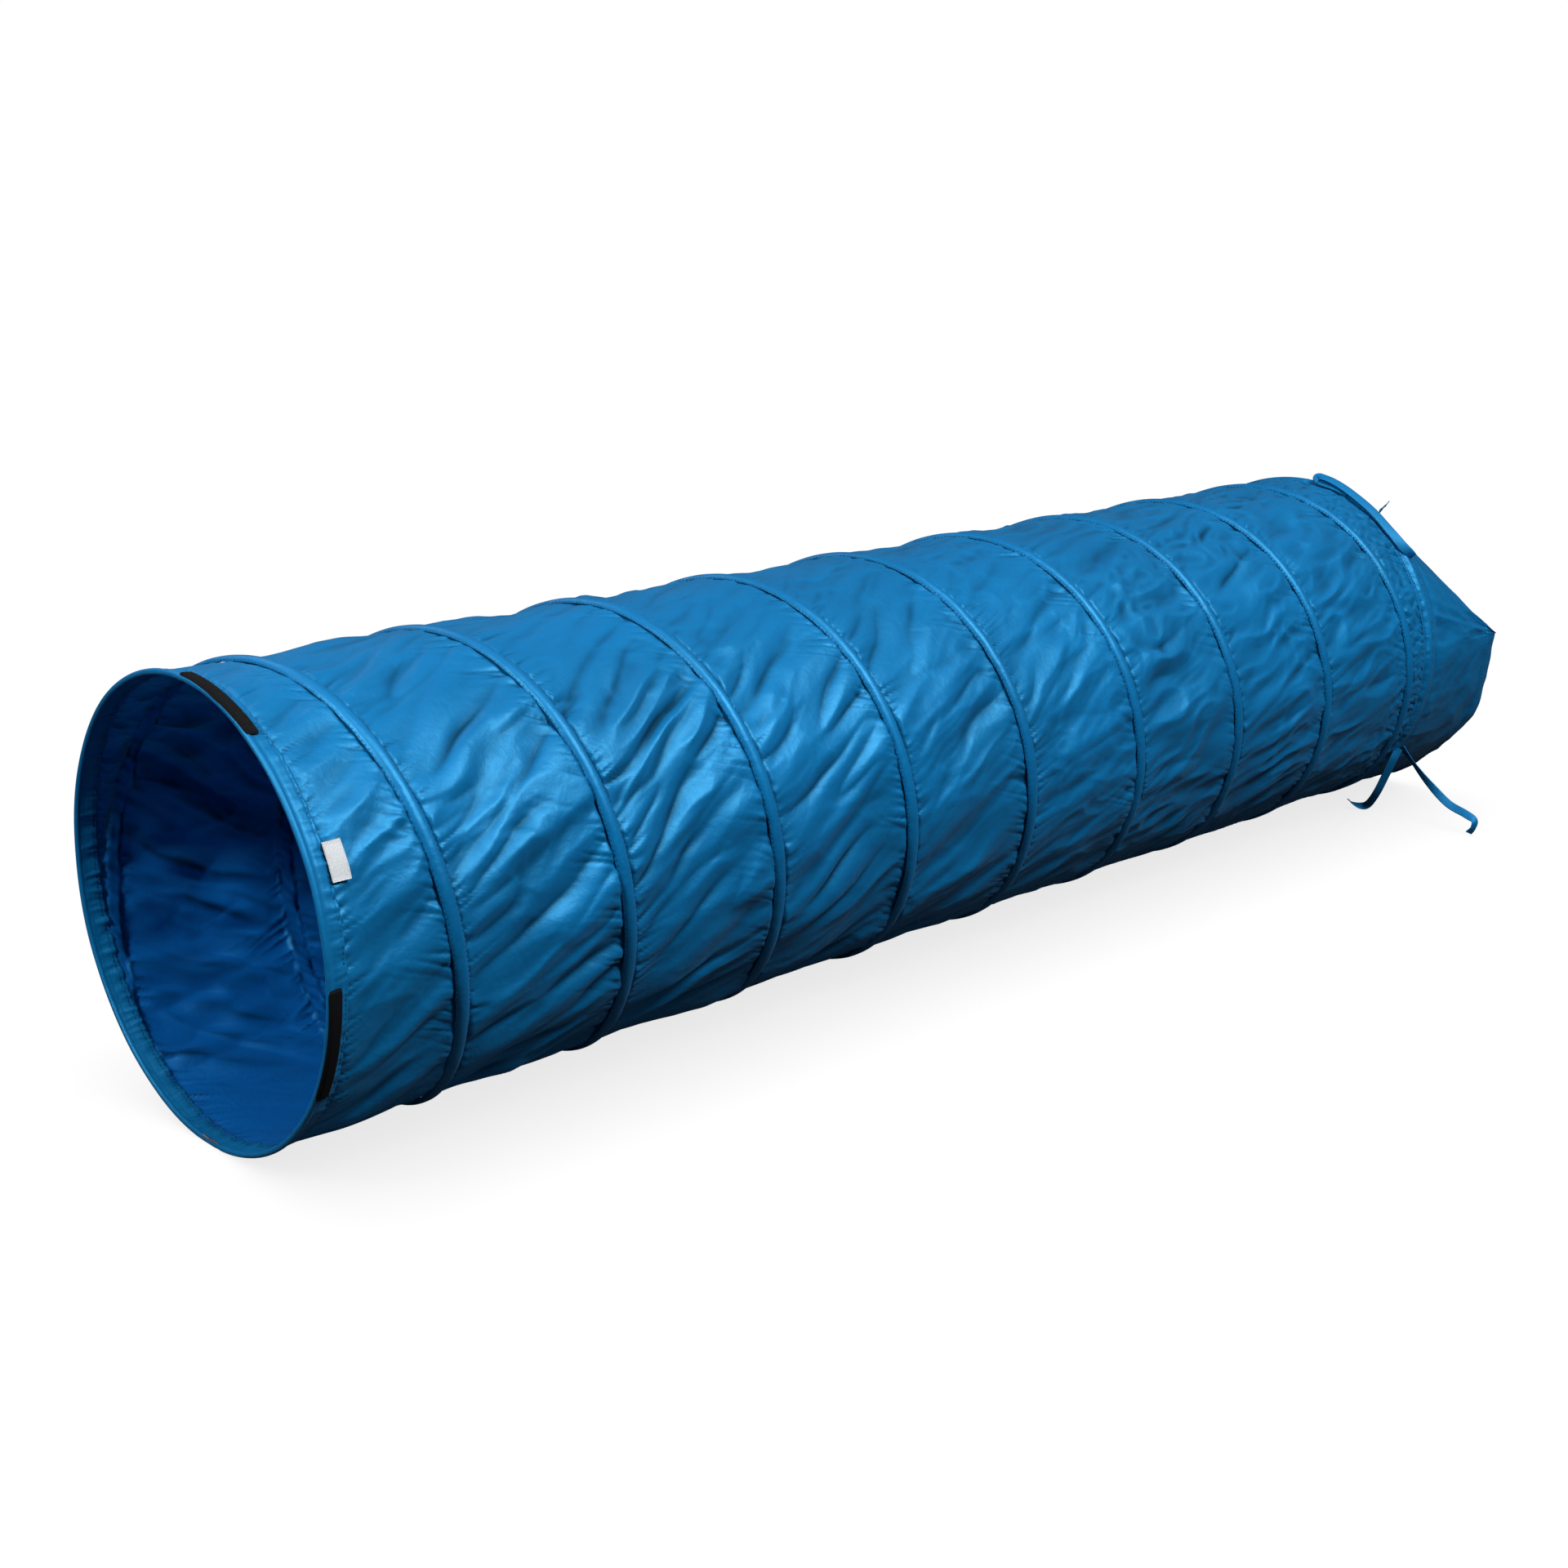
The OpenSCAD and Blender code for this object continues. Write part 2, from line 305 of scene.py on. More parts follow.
def fabric_shade(tree, bsdf, faces):
    """Painted shade: the cloth is darkened and made less shiny in its hollows and along its seams, by the
    amount kept in a point attribute.
    """
    shade_amount = node(tree, "ShaderNodeAttribute", attribute_name="hollow")
    light = node(tree, "ShaderNodeMath", operation="MULTIPLY_ADD")
    light.inputs[1].default_value = -0.82
    light.inputs[2].default_value = 1.0
    link(tree, shade_amount, "Fac", light, 0)
    shaded = node(tree, "ShaderNodeVectorMath", operation="SCALE")
    link(tree, faces, 2, shaded, 0)
    link(tree, light, 0, shaded, "Scale")
    link(tree, shaded, "Vector", bsdf, "Base Color")
    gloss = node(tree, "ShaderNodeMath", operation="MULTIPLY")
    gloss.inputs[1].default_value = 1.15
    link(tree, light, 0, gloss, 0)
    link(tree, gloss, 0, bsdf, "Specular IOR Level")


def light_through(tree, bsdf, colour):
    """A little light passes through the cloth."""
    through = node(tree, "ShaderNodeBsdfTranslucent")
    through.inputs["Color"].default_value = (*[min(1, c * 1.3) for c in colour], 1)
    mix = node(tree, "ShaderNodeMixShader")
    mix.inputs[0].default_value = 0.05
    link(tree, bsdf, "BSDF", mix, 1)
    link(tree, through, "BSDF", mix, 2)
    link(tree, mix, "Shader", tree.nodes["Material Output"], "Surface")


def taffeta(name, colour, rough=0.46):
    """Shiny plain-weave nylon."""
    mat, tree, bsdf = material(name, rough, colour, sheen=0.06)
    bsdf.inputs["Specular Tint"].default_value = (0.12, 0.60, 1, 1)
    bsdf.inputs["Sheen Roughness"].default_value = 0.4
    bsdf.inputs["Sheen Tint"].default_value = (0.35, 0.65, 1, 1)
    space = node(tree, "ShaderNodeTexCoord")
    crinkle = node(tree, "ShaderNodeTexNoise", Scale=170.0, Detail=4.0, Roughness=0.62)
    link(tree, space, "Object", crinkle, "Vector")
    fabric_bumps(tree, bsdf, space, crinkle)
    fabric_shade(tree, bsdf, fabric_tone(tree, colour, space))
    rough_map = node(tree, "ShaderNodeMapRange")
    rough_map.inputs["To Min"].default_value = rough - 0.05
    rough_map.inputs["To Max"].default_value = rough + 0.09
    link(tree, crinkle, "Fac", rough_map, "Value")
    link(tree, rough_map, "Result", bsdf, "Roughness")
    light_through(tree, bsdf, colour)
    return mat


def bumpy(name, colour, rough, scale, distance, sheen=0.0, metal=0.0):
    """A plain material with an even grain: thread, brushed wire, hook or loop tape."""
    mat, tree, bsdf = material(name, rough, colour, sheen, metal)
    bsdf.inputs["Specular IOR Level"].default_value = 0.5 if metal else 0.15
    space = node(tree, "ShaderNodeTexCoord")
    grain = node(tree, "ShaderNodeTexNoise", Scale=scale, Detail=3.0, Roughness=0.7)
    link(tree, space, "Object", grain, "Vector")
    bump = node(tree, "ShaderNodeBump", Strength=0.8, Distance=distance)
    link(tree, grain, "Fac", bump, "Height")
    link(tree, bump, "Normal", bsdf, "Normal")
    ramp = two_tones(tree, colour, (0.35, 0.7), (0.7, 1.35))
    link(tree, grain, "Fac", ramp, "Fac")
    link(tree, ramp, "Color", bsdf, "Base Color")
    return mat


BLUE = (0.0005, 0.108, 0.280)
# the tube's blue painted a touch lighter, a painted highlight for the casing; the tapes share it
LIT_BLUE = (0.0005, 0.108, 0.285)
TUBE = taffeta("tube_taffeta", BLUE)
CASING = taffeta("casing_taffeta", LIT_BLUE, rough=0.42)
TAPE = taffeta("tape_taffeta", LIT_BLUE, rough=0.55)
THREAD = bumpy("blue_thread", (0.002, 0.055, 0.14), 0.55, 900.0, 0.1 * MM)
WIRE = bumpy("spring_wire", (0.5, 0.5, 0.52), 0.3, 300.0, 0.02 * MM, metal=1.0)
HOOK = bumpy("hook_tape", (0.002, 0.002, 0.003), 0.8, 1400.0, 0.5 * MM)
LOOP = bumpy("loop_tape", (0.003, 0.003, 0.004), 1.0, 1100.0, 0.9 * MM)
LABEL = bumpy("label_satin", (0.42, 0.44, 0.46), 0.45, 1600.0, 0.06 * MM, sheen=0.2)


# ---------------------------------------------------------------- the fabric tube

COLS = 640
ROW = 2.6 * MM


def around(offset, phi):
    """Works offset out at each angle, blended at the foot of the tunnel so that it closes up."""
    turn = (phi + math.pi) % TAU - math.pi
    share = smooth(math.pi - 0.6, math.pi, turn)
    return offset(turn) * (1 - share) + offset(turn - TAU) * share


def coil_x(phi):
    """Where the coil crosses angle phi on its first turn past the first bend line, along X."""
    return BAY_X[0] + PITCH * (((phi - START) % TAU) / TAU)


def folds(X, S, slant, seed):
    """Tension folds that run along the tunnel and up its flank, with creases between them."""
    slant = math.radians(slant)
    along = X * math.cos(slant) - S * math.sin(slant)
    across = X * math.sin(slant) + S * math.cos(slant)
    bow = 11 * MM * noise(along / 0.20, across / 0.15, seed)
    across = across + bow + 4 * MM * noise(X / 0.06, S / 0.06, seed + 1)
    long = noise(along / 0.30, across / 0.050, seed + 2)
    ridge = crest(noise(along / 0.24, across / 0.046, seed + 3), 0.02)
    valley = -crest(noise(along / 0.20, across / 0.040, seed + 6), 0.02)
    tight = crest(noise(along / 0.09, across / 0.018, seed + 4), 0.03)
    mask = smooth(-0.25, 0.45, noise(along / 0.2, across / 0.09, seed + 5))
    sharp = 5.4 * ridge * (0.4 + 0.6 * mask)
    return 6.5 * long + sharp + 4.8 * valley * (1 - 0.5 * mask) + 1.2 * tight * mask


def crumples(X, S, seed):
    """Small flat facets with sharp edges, as in thin cloth that has been packed away."""
    u = X + 12 * MM * noise(X / 0.06, S / 0.06, seed)
    v = S + 0.3 * X + 12 * MM * noise(X / 0.07, S / 0.05, seed + 1)
    large = crest(noise(u / 0.105, v / 0.050, seed + 2), 0.02)
    small = crest(noise(u / 0.042, v / 0.024, seed + 3), 0.03)
    patch = smooth(-0.2, 0.5, noise(u / 0.16, v / 0.12, seed + 4))
    return 3.6 * large + 1.6 * small * patch


def puckers(edge, S, X, seed):
    """Short gathers that start at a seam and die away, a few of them long and deep."""
    edge = np.maximum(edge, 0)
    reach = (7 + 20 * smooth(-0.1, 0.7, noise(S / 0.045, X / 0.6, seed))) * MM
    near = np.exp(-edge / reach) * (1 - np.exp(-edge / (1.5 * MM)))
    lean = S + 0.35 * edge
    pinches = np.exp(-(noise(lean / 0.013, X / 0.12, seed + 2) / 0.16) ** 2)
    rows = 2.2 * noise(lean / 0.016, X / 0.09, seed + 1) - 3.2 * pinches
    uneven = 1 + 0.6 * noise(S / 0.0075, X / 0.02, seed + 3)
    return near * (rows + 1.0) - 1.1 * np.exp(-(edge / (1.5 * MM)) ** 2) * uneven


def tube_offset(x, phi):
    """How far the fabric lies off its coil radius: sag, folds, crumples, puckers and seams."""
    first = coil_x(phi)
    turn = np.floor((x - first) / PITCH)
    before, after = first + turn * PITCH, first + (turn + 1) * PITCH
    start, end = np.maximum(before, SEAM_X), np.minimum(after, FAR_X - END_SEAM)
    width = np.maximum(end - start, 2 * MM)
    t = np.clip((x - start) / width, 0, 1)
    span = np.minimum(1, width / PITCH)
    X, S = x, SHELL_R * phi
    low = smooth(0.75, 1.0, -np.cos(phi))
    later = smooth(0.75, 1.35, x)
    arch = 1 - np.abs(2 * t - 1) ** 2.2
    h = -(2.4 + 0.8 * np.cos(phi)) * MM * span ** 1.3 * arch

    env = np.clip(4 * t * (1 - t), 0, 1) ** 0.5 * span ** 0.6 * (1 - 0.6 * low)
    flank = 0.30 + 0.70 * smooth(0.1, 0.75, np.abs(np.sin(phi)))
    wave = (1 - later) * (1.35 - 0.35 * smooth(0.4, 0.9, x)) * folds(X, S, 33, 100)
    wave = wave + later * 0.65 * folds(X, S, 20, 140)
    h += env * flank * MM * wave
    h += env * MM * (0.4 + 0.9 * later) * crumples(X, S, 180)
    h += env * flank * MM * 1.6 * noise(X / 0.11, S / 0.10, 190)
    near_wall = smooth(0, -0.5, np.sin(phi)) * (1 - smooth(0.35, 0.5, x))
    wrinkles = 4.5 * crest(noise(X / 0.16, S / 0.040, 192), 0.02) + 3.5 * noise(X / 0.07, S / 0.028, 193)
    h += env * near_wall * MM * wrinkles

    packed = smooth(FAR_X - 0.13, FAR_X - 0.05, x) * np.clip(6 * t * (1 - t), 0, 1)
    fine = 1.3 * noise(X / 0.016, S / 0.013, 195) + 1.5 * crest(noise(X / 0.022, S / 0.018, 196), 0.04)
    h += packed * MM * fine

    coil_gap = np.minimum(np.abs(x - before), np.abs(after - x))
    h += MM * puckers(coil_gap - CASING_HALF, S, X, 200)
    hem_gap = np.minimum(np.abs(x - SEAM_X), np.abs(FAR_X - END_SEAM - x))
    h += MM * 1.1 * puckers(hem_gap, S, X, 210)

    # under the casing the cloth is gathered between two stitch lines, which shows from inside
    under = smooth(CASING_HALF, 0.75 * CASING_HALF, coil_gap)
    signed = np.where(np.abs(x - before) < np.abs(after - x), x - before, x - after)
    rope = noise(S / 0.010 + signed / 0.012, signed / 0.02, 220)
    h = h * (1 - under) + under * MM * (-2.6 + 1.7 * rope)
    tucked = np.maximum(SEAM_X - x, x - (FAR_X - END_SEAM))
    return np.where(tucked > 0, -1.0 * MM, h)


def tube_grid():
    """Rows along X, with one on every bend line, and columns round the tube."""
    edges = [SEAM_X - 4 * MM, *BAY_X, FAR_X - END_SEAM + 3 * MM]
    rows, cuts = [edges[0]], [0]
    for a, b in zip(edges, edges[1:]):
        count = max(2, round((b - a) / ROW))
        rows.extend(a + (b - a) * (i + 1) / count for i in range(count))
        cuts.append(len(rows) - 1)
    x = np.array(rows)[:, None]
    phi = (np.arange(COLS) * TAU / COLS)[None, :]
    h = around(lambda a: tube_offset(x, a), phi)
    # painted shade: darker in the hollows of the folds, and along both sides of each casing
    shade_amount = 0.5 * hollows(h, 1.6 * MM) + 0.8 * hollows(h, 4 * MM, 14)
    shade_amount = shade_amount + 0.7 * around(lambda a: seam_shade(x, a), phi)
    return wall(x, FABRIC_R + h, phi), cuts, np.stack(np.broadcast_arrays(x, SHELL_R * phi), -1), shade_amount


def seam_shade(x, phi):
    """Painted shade in the needle holes and pinches along both sides of the casing."""
    turn = (x - coil_x(phi)) / PITCH
    gap = np.abs(turn - np.round(turn)) * PITCH - CASING_HALF
    holes = 0.55 + 0.45 * noise(SHELL_R * phi / 0.0065, 0 * turn, 205)
    return holes * np.exp(-((gap - 0.6 * MM) / (1.6 * MM)) ** 2)


def fabric_tube():
    points, cuts, uv, shade_amount = tube_grid()
    normals = grid_normals(points)
    for k in range(len(cuts) - 1):
        a, b = cuts[k], cuts[k + 1] + 1
        name = "mouth_panel" if k == 0 else f"fabric_bay_{k}"
        piece = make(name, points[a:b], grid_faces(b - a, COLS, True, flip=True), TUBE,
                     normals[a:b], uv[a:b], hollow=shade_amount[a:b])
        if k == 0:
            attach(piece, "mouth")
        else:
            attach(piece, f"bay_{k}")
            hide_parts(f"shell_bay_{k}")
            flatten(piece)


def flatten(piece):
    """Gives a piece of bay k its own copy of its mesh."""
    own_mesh(piece)


# ---------------------------------------------------------------- the coil, its casing and stitches

CASING_STEP = math.radians(0.7)


def coil_path(first, last, step):
    """Angles past the first bend line, from first to last."""
    count = max(2, round((last - first) / step))
    return np.linspace(first, last, count + 1)


def coil_frame(turn_angle, dx, r):
    """A point near the coil: dx along X from its centre line, at radius r."""
    return wall(BAY_X[0] + PITCH * turn_angle / TAU + dx, r, START + turn_angle)


def casing_rings(angles):
    """Piping over the wire with a flat seam allowance along each side."""
    side = np.linspace(-1, 1, 19)
    s = SHELL_R * angles[:, None]
    wide = CASING_HALF + 0.45 * MM * noise(s / 0.012, 0.5 + 0 * s, 31)
    wide = wide + 0.4 * MM * noise(s / 0.05, 0 * s, 32)
    tall = (RIM_R - FABRIC_R - 1.6 * MM) * (1 + 0.06 * noise(s / 0.035, 0 * s, 33))
    dome = np.clip(1 - (np.abs(side) / 0.86) ** 2.2, 0, 1) ** 0.8
    flat = 0.9 * MM * (1 - np.abs(side) ** 8)
    ripple = 0.4 * MM * noise(s / 0.009, 1.7 * side[None, :], 34) * np.abs(side) ** 2
    outer_r = FABRIC_R + 0.2 * MM + flat + tall * dome + ripple
    outer = coil_frame(angles[:, None], wide * side, outer_r)
    under_side = side[-2:0:-1]
    under_r = FABRIC_R - 0.9 * MM + 0 * wide * under_side
    under = coil_frame(angles[:, None], wide * under_side * 0.96, under_r)
    return np.concatenate([outer, under], 1)


def casing_piece(name, first, last):
    angles = coil_path(first, last, CASING_STEP)
    rings = casing_rings(angles)
    s = np.broadcast_to(SHELL_R * angles[:, None], rings.shape[:2])
    u = np.broadcast_to(np.arange(rings.shape[1])[None, :] * 1.1 * MM, rings.shape[:2])
    piece = skin(name, rings, CASING, uv=np.stack([u, s], -1))
    return piece


def wire_piece(name, first, last):
    angles = coil_path(first, last, math.radians(3))
    a = np.arange(8) * TAU / 8
    radius = 1.2 * MM
    centre = FABRIC_R + 2.6 * MM
    rings = coil_frame(angles[:, None], radius * np.cos(a), centre + radius * np.sin(a))
    piece = skin(name, rings, WIRE)
    return piece


def stitches(name, places, ahead, out, length, width):
    """Small raised dashes: places, directions along the seam and outward normals are (n, 3) arrays."""
    ahead = ahead / np.linalg.norm(ahead, axis=-1, keepdims=True)
    out = out / np.linalg.norm(out, axis=-1, keepdims=True)
    side = np.cross(ahead, out)
    corners, faces = [], []
    for u, v, w in ((-1, 0, 0), (-0.6, -1, 0.35), (-0.6, 1, 0.35), (-0.4, 0, 1),
                    (0.4, 0, 1), (0.6, -1, 0.35), (0.6, 1, 0.35), (1, 0, 0)):
        corners.append(places + ahead * u * length / 2 + side * v * width / 2
                       + out * w * width * 0.8)
    shape = ((0, 1, 3), (0, 3, 2), (1, 5, 4, 3), (2, 3, 4, 6), (5, 7, 4), (6, 4, 7), (0, 2, 6, 7), (0, 7, 5, 1))
    points = np.stack(corners, 1)
    for i in range(len(places)):
        faces.extend(tuple(8 * i + c for c in f) for f in shape)
    piece = make(name, points, faces, THREAD, smooth_shade=False)
    return piece


def casing_stitches(name, first, last):
    gap = 5.2 * MM / SHELL_R
    angles = np.arange(first + gap / 2, last, gap)
    places, ahead, out = [], [], []
    for side in (-1, 1):
        dx = side * (CASING_HALF - 1.1 * MM)
        r = FABRIC_R + 1.15 * MM
        p = coil_frame(angles, dx, r)
        q = coil_frame(angles + 0.01, dx, r)
        places.append(p)
        ahead.append(q - p)
        out.append(p - np.stack([p[:, 0], 0 * angles, AXIS_Z + 0 * angles], -1))
    places, ahead, out = map(np.concatenate, (places, ahead, out))
    return stitches(name, places, ahead, out, CASING_STITCH, STITCH_W)


def coil():
    end_angle = TAU * (FAR_X - 9 * MM - BAY_X[0]) / PITCH
    for k in range(1, BAYS + 1):
        first = (k - 1) * TAU
        last = min(k * TAU, end_angle)
        casing = casing_piece(f"casing_{k}", first, last)
        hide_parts(f"casing_turn_{k}")
        wire = wire_piece(f"coil_wire_{k}", first, last)
        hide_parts(f"coil_turn_{k}")
        seam = casing_stitches(f"casing_stitches_{k}", first, last)
        for piece in (casing, wire, seam):
            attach(piece, f"bay_{k}")
            flatten(piece)
    lead = casing_piece("casing_lead_in", -TAU * (BAY_X[0] - 20 * MM) / PITCH, 0)
    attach(lead, "mouth")


# ---------------------------------------------------------------- hems at the two rings

def mouth_hem():
    """The folded hem: a thin rolled edge over the ring wire, two layers, gathered at the seam."""
    phi = (np.arange(1000) * TAU / 1000)[:, None]
    s = SHELL_R * phi
    roll = 3.1 * MM
    roll_r = RIM_R - roll - 0.4 * MM
    bend = np.radians(np.linspace(-60, -300, 13))
    inner_x = np.linspace(SEAM_X, 3 * MM, 9)
    outer_x = np.linspace(3.2 * MM, SEAM_X, 12)
    inner_r = np.interp(inner_x, [0, SEAM_X], [roll_r - 3.0 * MM, FABRIC_R - 2.8 * MM])
    outer_r = np.interp(outer_x, [3 * MM, SEAM_X], [roll_r + 1.2 * MM, FABRIC_R + 0.5 * MM])
    x = np.concatenate([inner_x, roll * np.cos(bend), outer_x])[None, :]
    r = np.concatenate([inner_r, roll_r + roll * np.sin(bend), outer_r])[None, :]
    inside = (np.arange(x.shape[1]) < 9)[None, :]
    gather = smooth(3 * MM, 18 * MM, x)

    def gathers(a):
        s = SHELL_R * a
        fine = 1.7 * noise(s / 0.012, x / 0.06 + 9 * inside, 41)
        fine = fine + 1.2 * crest(noise(s / 0.0075, x / 0.04, 42), 0.08)
        return fine + 0.9 * noise(s / 0.045, x / 0.05, 43)

    amount = np.where(inside, 0.35 + 0.95 * gather, 0.15 + 0.6 * gather) * MM
    seam = np.exp(-((x - (SEAM_X - 2.2 * MM)) / (1.4 * MM)) ** 2)
    seam = seam + 0.6 * np.exp(-((x - 6 * MM) / (1.2 * MM)) ** 2)
    change = amount * around(gathers, phi) - 0.9 * MM * seam * np.where(inside, -1, 1)
    change = change * np.minimum(1, np.maximum(x, 0) / (4 * MM) + 0.1)
    drift = 0.7 * MM * around(lambda a: noise(SHELL_R * a / 0.10, 0 * a, 44), phi)
    rings = wall(x + drift * (1 - gather), np.minimum(r + change, RIM_R + 1.0 * MM), phi)
    u = np.broadcast_to(np.arange(x.shape[1])[None, :] * 2 * MM, rings.shape[:2])
    piece = skin("mouth_hem_fabric", rings, TUBE, closed=True,
                 uv=np.stack([u, np.broadcast_to(s, rings.shape[:2])], -1))
    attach(piece, "mouth")
    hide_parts("mouth_hem")
    ring_stitches("mouth_hem_stitches", SEAM_X - 2.2 * MM, FABRIC_R + 0.3 * MM, 1, "mouth")
    ring_stitches("mouth_inner_stitches", SEAM_X - 2.2 * MM, FABRIC_R - 2.6 * MM, -1, "mouth")
    ring_stitches("mouth_inner_stitches_2", SEAM_X - 6 * MM, FABRIC_R - 2.8 * MM, -1, "mouth")


def ring_stitches(name, x, r, sign, body):
    phi = np.arange(0, TAU, 5 * MM / r)
    p = wall(x + 0 * phi, r, phi)
    q = wall(x + 0 * phi, r, phi + 0.01)
    out = sign * np.stack([0 * phi, -np.sin(phi), np.cos(phi)], -1)
    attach(stitches(name, p, q - p, out, HEM_STITCH, STITCH_W), body)


def end_hem():
    """Seam at the far ring: a low ridge over the wire, gathered hard on both sides."""
    phi = (np.arange(900) * TAU / 900)[:, None]
    s = SHELL_R * phi
    top_x = np.linspace(-END_SEAM - 2 * MM, END_SEAM + 2 * MM, 19)
    low_x = top_x[-2:0:-1]
    ridge = np.exp(-(np.abs(top_x) / (5.5 * MM)) ** 3)
    top_r = FABRIC_R + 0.4 * MM + (RIM_R - FABRIC_R - 1.2 * MM) * ridge
    low_r = np.full(low_x.shape, FABRIC_R - 1.5 * MM) - 2.5 * MM * np.exp(-(low_x / (5 * MM)) ** 2)
    x = np.concatenate([top_x, low_x])[None, :]
    r = np.concatenate([top_r, low_r])[None, :]
    gather = smooth(1.5 * MM, 6 * MM, np.abs(x)) * (1 - smooth(9 * MM, 14 * MM, np.abs(x)))
    wave = around(lambda a: 1.6 * noise(SHELL_R * a / 0.018, x / 0.03, 51)
                  + 0.7 * crest(noise(SHELL_R * a / 0.012, x / 0.03, 52), 0.05), phi)
    groove = np.exp(-((np.abs(x) - 9 * MM) / (1.5 * MM)) ** 2)
    outer = (np.arange(x.shape[1]) < len(top_x))[None, :]
    change = MM * (1.5 * gather * wave - 0.9 * groove * np.where(outer, 1, -1))
    drift = MM * around(lambda a: noise(SHELL_R * a / 0.12, 0 * a, 54), phi)
    rings = wall(FAR_X + x + drift, r + change, phi)
    u = np.broadcast_to(np.arange(x.shape[1])[None, :] * 2 * MM, rings.shape[:2])
    piece = skin("far_hem_fabric", rings, TUBE, closed=True,
                 uv=np.stack([u, np.broadcast_to(s, rings.shape[:2])], -1))
    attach(piece, "far_end")
    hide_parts("end_hem")
    for i, dx in enumerate((-9 * MM, 9 * MM)):
        ring_stitches(f"far_hem_stitches_{i + 1}", FAR_X + dx, FABRIC_R + 1.0 * MM, 1, "far_end")


# ---------------------------------------------------------------- strips, label

STRIP_ANGLES = (17, 107, 206, 287)
STRIP_L = 125 * MM
STRIP_W = 15 * MM
# how far the edge lies past the mouth: the first two strips overhang it, the others sit back
STRIP_FRONTS = (-2.4 * MM, -2.4 * MM, 1.6 * MM, 1.6 * MM)


def rim_strip(name, centre, fuzzy, front):
    """A hook or loop strip on the hem's outer face, flush with the mouth's edge."""
    rows, cols = 20, 150
    v = np.linspace(-1, 1, cols)[:, None]
    u = np.linspace(0, 1, rows)[None, :]
    corner = 0.10
    rounded = np.sqrt(np.clip(1 - ((np.abs(v) - 1 + corner) / corner) ** 2, 0, 1))
    pinch = np.where(np.abs(v) > 1 - corner, rounded, 1)
    pinch = 0.72 + 0.28 * pinch
    x = (u - 0.5) * STRIP_W * pinch + STRIP_W / 2 + front
    face_r = np.interp(x, [-2 * MM, 1 * MM, 5 * MM, SEAM_X],
                       [RIM_R - 1.8 * MM, RIM_R, RIM_R - 0.6 * MM, FABRIC_R + 2 * MM])
    phi = math.radians(centre) + v * STRIP_L / 2 / RIM_R
    s = RIM_R * phi
    edge = np.minimum(1, 8 * np.minimum(np.minimum(u, 1 - u), 0.6 * (1 - np.abs(v)) * 5))
    tall = 1.6 * MM * edge ** 0.4 + 0 * s
    if fuzzy:
        pile = 0.55 * noise(s / 0.0022, x / 0.0022, 61) + 0.4 * noise(s / 0.006, x / 0.006, 62)
        tall = tall + edge * MM * pile
    else:
        tall = tall + edge * 0.22 * MM * np.sin(s / (2.0 * MM) * TAU) * np.sin(x / (2.0 * MM) * TAU)
    top = wall(x + 0 * phi, face_r + tall, phi + 0 * x)
    low = wall(x + 0 * phi, face_r - 0.3 * MM + 0 * tall, phi + 0 * x)
    points = np.concatenate([top.reshape(-1, 3), low.reshape(-1, 3)])
    piece = make(name, points, slab_faces(cols, rows), LOOP if fuzzy else HOOK)
    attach(piece, "mouth")
    return piece


def strips():
    for i, (angle, front) in enumerate(zip(STRIP_ANGLES, STRIP_FRONTS)):
        fuzzy = i % 2 == 0
        kind = "loop" if fuzzy else "hook"
        piece = rim_strip(f"rim_{kind}_strip_{i // 2 + 1}", angle, fuzzy, front)
        if i < 2:
            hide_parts(f"rim_{kind}_strips")


def label():
    """A blank woven label, folded over and caught in the hem seam along one side."""
    low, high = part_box("woven_label")
    phi0 = math.atan2(-(low.y + high.y) / 2, (low.z + high.z) / 2 - AXIS_Z)
    length, width = 37 * MM, 18 * MM
    rows, cols = 40, 22
    v = np.linspace(-1, 1, rows)[:, None]
    u = np.linspace(0, 1, cols)[None, :]
    lift = (1.8 + 2.6 * u ** 1.5 + 0.5 * np.sin(2.2 * v + 1.0) * u) * MM
    top_r = FABRIC_R + 1.0 * MM + lift
    phi = phi0 + v * length / 2 / SHELL_R
    x = SEAM_X - 1 * MM + u * width
    hem = np.maximum(np.abs(v), np.abs(2 * u - 1))
    raised = 0.25 * MM * smooth(0.86, 0.9, hem)
    outer = wall(x + 0 * phi, top_r + raised, phi + 0 * x)
    inner = wall(x + 0 * phi, top_r - 0.7 * MM, phi + 0 * x)
    points = np.concatenate([outer.reshape(-1, 3), inner.reshape(-1, 3)])
    piece = make("label", points, slab_faces(rows, cols), LABEL)
    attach(piece, "label")
    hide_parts("woven_label")


# ---------------------------------------------------------------- sleeve and ties

